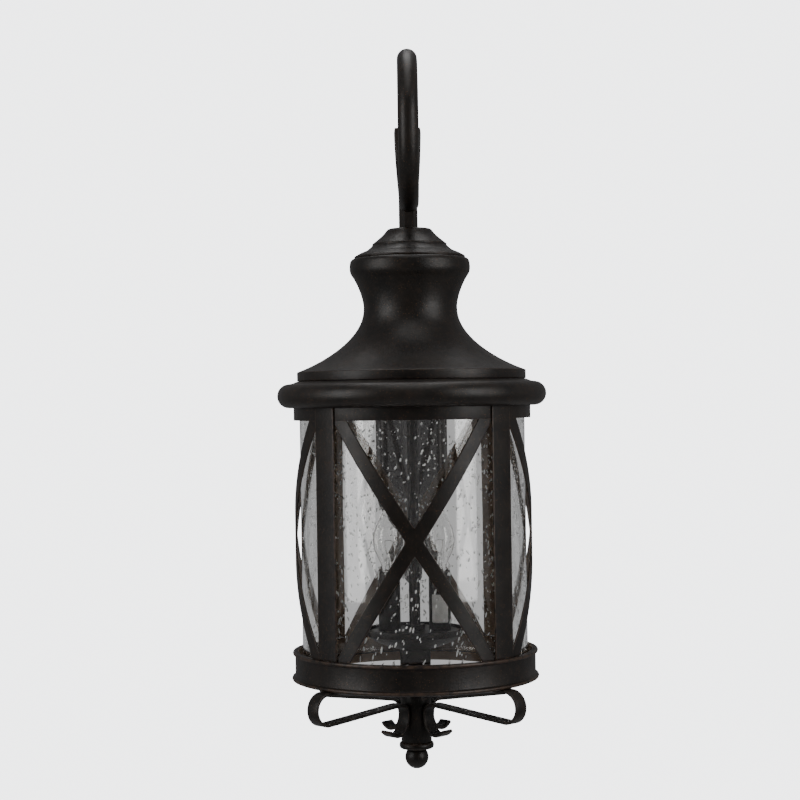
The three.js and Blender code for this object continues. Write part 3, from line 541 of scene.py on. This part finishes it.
def glass_seeds(mesh, count=4600):
    """Small long bubbles inside the wall, all leaning the same way."""
    draw = random.Random(11)
    ball = bmesh.new()
    bmesh.ops.create_icosphere(ball, subdivisions=2, radius=1)
    ball.verts.index_update()
    points = [v.co.copy() for v in ball.verts]
    facets = [[v.index for v in f.verts] for f in ball.faces]
    ball.free()
    for _ in range(count):
        around = draw.uniform(0, 2 * math.pi)
        z = draw.uniform(glass_low.z + 6 * MM, glass_high.z - 4 * MM)
        crowd = noise.noise(Vector((math.sin(around) * 3, math.cos(around) * 3, z * 24)))
        if draw.random() > 0.5 + 0.9 * crowd:
            continue
        upper = (z - glass_low.z) / (glass_high.z - glass_low.z)
        wide = draw.uniform(0.35, 0.9) * MM
        long = wide * draw.uniform(1.1, 4.0 - 2.2 * upper)
        lean = math.radians(draw.gauss(17, 9))
        reach = GLASS_RADIUS - 0.75 * MM - min(wide, 0.5 * MM)
        outwards = Matrix.Rotation(around, 4, "Z") @ Matrix.Translation((0, -reach, z))
        size = Matrix.Diagonal((wide, min(wide, 0.5 * MM), long, 1))
        place = Matrix.Translation(AXIS) @ outwards @ Matrix.Rotation(lean, 4, "Y") @ size
        corners = [mesh.verts.new(place @ p) for p in points]
        for facet in facets:
            mesh.faces.new([corners[i] for i in facet])


skin, seeds = bmesh.new(), bmesh.new()
glass_skin(skin)
glass_seeds(seeds)
made("glass_wall", skin, SEEDED, "cage", ["glass_cylinder"], plain=True)
made("glass_seeds", seeds, SEED_PAINTED_REFLECTION, "cage", plain=True)

# ---------- scrolls ----------

scroll_low, scroll_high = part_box("scroll_1")
SCROLL_WIDTH = 12 * MM
EDGE = 0.5 * MM


def rounded_bar(wide, deep, edge):
    """Points of a rectangle of those half sizes with rounded corners."""
    points = []
    for turn, sx, sy in ((0, 1, 1), (1, -1, 1), (2, -1, -1), (3, 1, -1)):
        for k in range(4):
            a = math.pi / 2 * (turn + k / 3)
            x = sx * (wide - edge) + edge * math.cos(a)
            y = sy * (deep - edge) + edge * math.sin(a)
            points.append((x, y))
    return points


def two_sides(outline):
    """Splits a strap's closed outline into its two long sides, both running the same way."""
    count = len(outline)

    def corner(i):
        before, after = outline[i] - outline[i - 1], outline[(i + 1) % count] - outline[i]
        return abs(before.angle_signed(after)) > CORNER

    start = next(i for i in range(count) if corner(i) and corner(i - 1))
    turned = outline[start:] + outline[:start]
    return turned[: count // 2], turned[: count // 2 - 1 : -1]


def scroll(number):
    """A flat forged strap along the CAD strap's own middle line, with rounded edges."""
    angle = (number - 0.5) * math.pi / 2
    along = Vector((math.cos(angle), math.sin(angle), 0))
    across = Vector((-math.sin(angle), math.cos(angle), 0))
    half = SCROLL_WIDTH / 2

    def place(p):
        return (p - AXIS).dot(along), p.z, (p - AXIS).dot(across) - half

    one, two = two_sides(cad_outline(f"scroll_{number}", place))
    thick = (one[0] - two[0]).length / 2
    line = softened([(a + b) / 2 for a, b in zip(one, two)], False)

    def ring(middle, up, shrink=0.0):
        points = []
        for w, t in rounded_bar(half - shrink, thick - shrink, EDGE - shrink / 2):
            spot = middle + up * t
            points.append(AXIS + along * spot.x + across * w + Vector((0, 0, spot.y)))
        return points

    last = len(line) - 1
    rings = []
    for i, p in enumerate(line):
        ahead = (line[min(i + 1, last)] - line[max(i - 1, 0)]).normalized()
        up = Vector((-ahead.y, ahead.x))
        rings.append(ring(p, up, EDGE if i in (0, last) else 0))
        if i == 0:
            rings.append(ring(p + (line[1] - p).normalized() * EDGE, up))
        elif i == last - 1:
            rings.append(ring(line[last] - (line[last] - p).normalized() * EDGE, up))
    return lofted(f"scroll_strap_{number}", rings, BRONZE, "cage", [f"scroll_{number}"])


for number in range(1, 5):
    scroll(number)

# ---------- crook arm ----------

ELBOW = 30 * MM
TAIL_START = 292
TAIL_END = 371.6
TAIL_TIP = 4 * MM
tube_low, tube_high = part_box("arm_tube")
tail_low, tail_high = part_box("arm_tail")
TUBE = (tube_high.x - tube_low.x) / 2
loop_radius = AXIS.y - tube_low.y - TUBE
staff_y = max(v.co.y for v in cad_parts["arm_tube"].data.vertices if v.co.z > 0) - TUBE


def arc_stage(y, z, radius, start, end, spacing=2.5 * MM):
    """Centre points and outward directions along an arc in the plane of the arm."""
    count = max(2, int(abs(math.radians(end - start)) * radius / spacing))
    for k in range(count + 1):
        a = math.radians(start + (end - start) * k / count)
        out = Vector((0, math.cos(a), math.sin(a)))
        yield Vector((0, y, z)) + out * radius, out, start + (end - start) * k / count


def crook_arm():
    """The bent tube from its foot at the wall to the broad hammered tip."""
    crook_top = tube_high.z - TUBE
    foot = tube_low.z + TUBE
    crook_radius = staff_y - AXIS.y
    loop_z = crook_top - loop_radius
    tip = (tail_high.x - tail_low.x) / 2
    rings = []

    def ring(centre, out, wide=TUBE, deep=TUBE, power=1.0):
        points = []
        for k in range(36):
            a = 2 * math.pi * k / 36
            x = math.copysign(abs(math.cos(a)) ** power, math.cos(a)) * wide
            d = math.copysign(abs(math.sin(a)) ** power, math.sin(a)) * deep
            points.append(centre + Vector((x, 0, 0)) + out * d)
        rings.append(points)

    up = Vector((0, 0, 1))
    for y, shrink in ((tube_high.y, 0.6 * MM), (tube_high.y - 0.5 * MM, 0)):
        ring(Vector((0, y, foot)), up, TUBE - shrink, TUBE - shrink)
    for centre, out, _ in arc_stage(staff_y + ELBOW, foot + ELBOW, ELBOW, 270, 180):
        ring(centre, -out)
    for centre, out, _ in arc_stage(AXIS.y, crook_top - crook_radius, crook_radius, 0, 90):
        ring(centre, out)
    for centre, out, angle in list(arc_stage(AXIS.y, loop_z, loop_radius, 90, TAIL_END))[1:]:
        share = max(0.0, (angle - TAIL_START) / (TAIL_END - TAIL_START))
        ease = share * share * (3 - 2 * share)
        last = min(1.0, (1 - share) * 26)
        wide = TUBE + (tip - TUBE) * ease
        deep = TUBE + (TAIL_TIP / 2 - TUBE) * ease
        ring(centre, out, wide * (0.93 + 0.07 * last), deep * (0.6 + 0.4 * last), 1 - 0.45 * ease)
    return lofted("crook_arm", rings, BRONZE, "fixture", ["arm_tube", "arm_tail"])


crook_arm()

# ---------- wall plate ----------

plate_low, plate_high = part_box("backplate")


def stadium(inset, y, count=24):
    """A ring with two round ends, that far inside the plate's edge."""
    radius = (plate_high.x - plate_low.x) / 2 - inset
    rise = (plate_high.z - plate_low.z - (plate_high.x - plate_low.x)) / 2
    points = []
    for k in range(2 * count):
        a = math.pi * (k + 0.5) / count
        lift = rise if math.sin(a) > 0 else -rise
        points.append(Vector((radius * math.cos(a), y, radius * math.sin(a) + lift)))
    return points


def wall_plate():
    """A shallow pan with a small step, a bellied flank and a flat face, open to the wall."""
    back, face = plate_high.y, plate_low.y
    wall = 1.4 * MM
    flank = bow((1.5, 4), (3, 14), (5, 18), (9, 18), 12)
    deep = (back - face) / 18
    step = ((0.2, 0), (0, 0.4), (0, 2.7), (0.3, 3.2))
    outer = [Vector((x * MM, y * MM)) for x, y in step]
    outer += [Vector((p.x * MM, p.y * deep)) for p in flank]
    outer.append(Vector((20 * MM, 18 * deep)))
    inner = [Vector((p.x + wall, max(0, p.y - wall))) for p in outer]
    rings = [stadium(p.x, back - p.y) for p in reversed(inner)]
    rings += [stadium(p.x, back - p.y) for p in outer]
    return lofted("wall_plate", rings, BRONZE, "fixture", ["backplate"])


WELD = 1.2 * MM  # reach of the fillet round a post's foot


def arm_post(name, node):
    """A turned post with a weld fillet where it stands on the plate."""
    low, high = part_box(node)
    radius = (high.x - low.x) / 2
    middle = (low.z + high.z) / 2
    profile = [(radius, high.y), (radius, high.y - 0.4 * MM)]
    for k in range(1, 7):
        profile.append((radius - WELD * math.sin(k * math.pi / 12), high.y - (0.4 + 0.35 * k) * MM))
    profile.append((radius - WELD, low.y))
    rings = []
    for r, y in profile:
        rings.append([Vector((r * math.cos(a), y, middle + r * math.sin(a)))
                      for a in (2 * math.pi * k / 40 for k in range(40))])
    return lofted(name, rings, BRONZE, "fixture", [node])


wall_plate()
arm_post("post_upper", "arm_boss_upper")
arm_post("post_lower", "arm_boss_lower")
keep("mounting_bracket", ZINC)
keep("wall_gasket", RUBBER)
keep("ground_screw", GREEN, 0.3 * MM)
for side in ("left", "right"):
    keep(f"mounting_stud_{side}", ZINC, 0.2 * MM)
    keep(f"cap_nut_{side}", BRONZE, 0.2 * MM)
keep("supply_lead", RUBBER, 0)
keep("hanging_coupling", BRONZE)

# ---------- candle cluster ----------

keep("centre_rod", BRONZE, 0.2 * MM)
keep("roof_locknut", ZINC)
keep("cluster_nut", BRONZE)
keep("socket_plate", BRONZE, 0.3 * MM)
respun("socket_dish", BRONZE, "fixture", 96)


def lamp_wires(side):
    """A pinched glass stem with two support wires and a bent filament."""
    low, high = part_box(f"lamp_filament_{side}")
    x = (low.x + high.x) / 2
    stem = [(0, 0), (3.3, 0), (3.2, 2), (2.4, 8), (1.5, 12), (1.3, 15.4), (0.8, 16), (0, 16)]
    outline = [Vector((r * MM, low.z + z * MM)) for r, z in stem]
    spun(f"lamp_stem_{side}", outline, Vector((x, AXIS.y, 0)), BULB, f"lamp_{side}", [], False, 28)
    mesh = bmesh.new()

    def wire(points, radius):
        previous = None
        for i, p in enumerate(points):
            ahead = points[min(i + 1, len(points) - 1)] - points[max(i - 1, 0)]
            turn = ahead.to_track_quat("Z", "Y").to_matrix()
            loop = [mesh.verts.new(p + turn @ Vector((radius * math.cos(a), radius * math.sin(a), 0)))
                    for a in (2 * math.pi * k / 8 for k in range(8))]
            if previous:
                for k in range(8):
                    mesh.faces.new((previous[k], previous[(k + 1) % 8], loop[(k + 1) % 8], loop[k]))
            else:
                mesh.faces.new(loop)
            previous = loop
        mesh.faces.new(previous)

    top = high.z - low.z - 1 * MM
    for hand in (1, -1):
        points = [Vector((x + hand * w * MM, AXIS.y, low.z + z)) for w, z in (
            (0.8, 13 * MM), (1.6, 17 * MM), (2.6, 20 * MM), (3, 23 * MM), (3.0, top - 1 * MM))]
        wire(points, 0.22 * MM)
    coil = []
    for k in range(121):
        t = k / 120
        a = 2 * math.pi * 15 * t
        sag = 1.2 * MM * math.sin(math.pi * t)
        coil.append(Vector((x + (6 * t - 3) * MM, AXIS.y + 0.28 * MM * math.cos(a),
                            low.z + top - 1 * MM + sag * 0.6 + 0.28 * MM * math.sin(a))))
    wire(coil, 0.09 * MM)
    made(f"lamp_wires_{side}", mesh, TUNGSTEN, f"lamp_{side}", [f"lamp_filament_{side}"])


for side in ("left", "right"):
    respun(f"candle_sleeve_{side}", BRONZE, "fixture", 64)
    respun(f"lamp_glass_{side}", BULB, f"lamp_{side}", 72)
    keep(f"lampholder_{side}", PHENOLIC, 0.2 * MM)
    keep(f"lamp_base_{side}", BRASS, 0.2 * MM)
    lamp_wires(side)

LABEL_WIDTH = 15 * MM
LABEL_CARD = 0.3 * MM
LABEL_STAND = 0.6 * MM  # outer face of the card beyond the sleeve


def label():
    """A blank card wrapped round the front of the right-hand sleeve."""
    low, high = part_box("sleeve_label")
    sleeve_low, sleeve_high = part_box("candle_sleeve_right")
    middle = Vector(((sleeve_low.x + sleeve_high.x) / 2, AXIS.y, 0))
    radius = (sleeve_high.x - sleeve_low.x) / 2 + LABEL_STAND
    wide, tall = LABEL_WIDTH / 2, (high.z - low.z) / 2
    corners = [Vector((sx * wide, sz * tall)) for sx, sz in ((-1, -1), (1, -1), (1, 1), (-1, 1))]
    card = eased(corners, {0, 1, 2, 3}, 1.2 * MM)
    wrapped_plate("label", card, radius, LABEL_CARD, (low.z + high.z) / 2, 0, "fixture", ["sleeve_label"],
                  PAPER, middle, 0.08 * MM, 0.8 * MM)


label()

# ---------- stage, lights and camera ----------


def floor():
    """A pale floor. Its glow shows to the camera and through glass, and hardly lights the lantern."""
    bpy.ops.mesh.primitive_plane_add(size=11, location=(0, AXIS.y, -1.7))
    plane = bpy.context.object
    plane.name = "floor"
    s = Shader("floor_paint")
    s.colour(s.blend(s.noise(3, 2), (0.84, 0.84, 0.84), (0.80, 0.80, 0.80)))
    s.set(Roughness=0.7)
    rays = s.add("ShaderNodeLightPath").outputs
    seen = s.add("ShaderNodeMath", operation="MAXIMUM")
    s.link(rays["Is Camera Ray"], seen.inputs[0])
    s.link(rays["Is Transmission Ray"], seen.inputs[1])
    s.link(seen.outputs["Value"], s.bsdf.inputs["Emission Strength"])
    s.bsdf.inputs["Emission Color"].default_value = (0.62, 0.62, 0.62, 1)
    plane.data.materials.append(s.material)


BACKDROP = 4.0  # brightness behind the lantern, as the camera sees it
THROUGH_GLASS = 0.55  # the same, seen through glass
ROOM = 0.19  # brightness that lights and reflects in its surfaces
ROOM_FRONT = 0.04  # the same, on the camera's side


def softbox(name, azimuth, height, distance, width, tall, power):
    """A soft light that far round from the front of the lantern, aimed at it."""
    light = bpy.data.lights.new(name, "AREA")
    light.shape = "RECTANGLE"
    light.size, light.size_y = width, tall
    light.energy = power
    lamp = bpy.data.objects.new(name, light)
    bpy.context.scene.collection.objects.link(lamp)
    a = math.radians(azimuth)
    lamp.location = AXIS + Vector((math.sin(a) * distance, -math.cos(a) * distance, height))
    lamp.rotation_euler = (AXIS - lamp.location).to_track_quat("-Z", "Y").to_euler()


def surroundings():
    """White to the camera, softer through the glass, and a dim room on surfaces, darkest in front."""
    world = bpy.data.worlds.new("studio")
    world.use_nodes = True
    bpy.context.scene.world = world
    tree = world.node_tree
    path = tree.nodes.new("ShaderNodeLightPath").outputs

    def lit(strength):
        node = tree.nodes.new("ShaderNodeBackground")
        node.inputs["Color"].default_value = (0.97, 0.98, 1.0, 1)
        if isinstance(strength, float):
            node.inputs["Strength"].default_value = strength
        else:
            tree.links.new(strength, node.inputs["Strength"])
        return node.outputs["Background"]

    def darker_in_front():
        compass = tree.nodes.new("ShaderNodeSeparateXYZ")
        tree.links.new(tree.nodes.new("ShaderNodeTexCoord").outputs["Generated"], compass.inputs[0])
        node = tree.nodes.new("ShaderNodeMapRange")
        span = (("From Min", -0.9), ("From Max", 0.1), ("To Min", ROOM_FRONT), ("To Max", ROOM))
        for name, number in span:
            node.inputs[name].default_value = number
        tree.links.new(compass.outputs["Y"], node.inputs["Value"])
        return node.outputs["Result"]

    room = lit(darker_in_front())

    def chosen(factor, a, b):
        node = tree.nodes.new("ShaderNodeMixShader")
        tree.links.new(factor, node.inputs["Fac"])
        tree.links.new(a, node.inputs[1])
        tree.links.new(b, node.inputs[2])
        return node.outputs["Shader"]

    direct = chosen(path["Is Transmission Ray"], room, lit(THROUGH_GLASS))
    bounced = chosen(path["Diffuse Depth"], direct, room)
    shown = chosen(path["Is Camera Ray"], bounced, lit(BACKDROP))
    tree.links.new(shown, tree.nodes["World Output"].inputs["Surface"])


def camera():
    """Level, square to the front, turned a little about its own axis."""
    data = bpy.data.cameras.new("camera")
    data.lens = 81
    data.sensor_width = 36
    eye = bpy.data.objects.new("camera", data)
    bpy.context.scene.collection.objects.link(eye)
    eye.location = (-0.010, AXIS.y - 1.538, 0)
    eye.rotation_euler = (math.radians(90), math.radians(0.84), 0)
    bpy.context.scene.camera = eye


floor()
surroundings()
softbox("key_left", -60, 0.3, 1.5, 0.6, 1.3, 12)
softbox("key_right", 54, 0.3, 1.5, 0.6, 1.3, 13)
softbox("top", 0, 1.6, 0.5, 1.0, 1.0, 6)
softbox("rear", 180, 2.2, 0.9, 1.2, 1.2, 16)
camera()
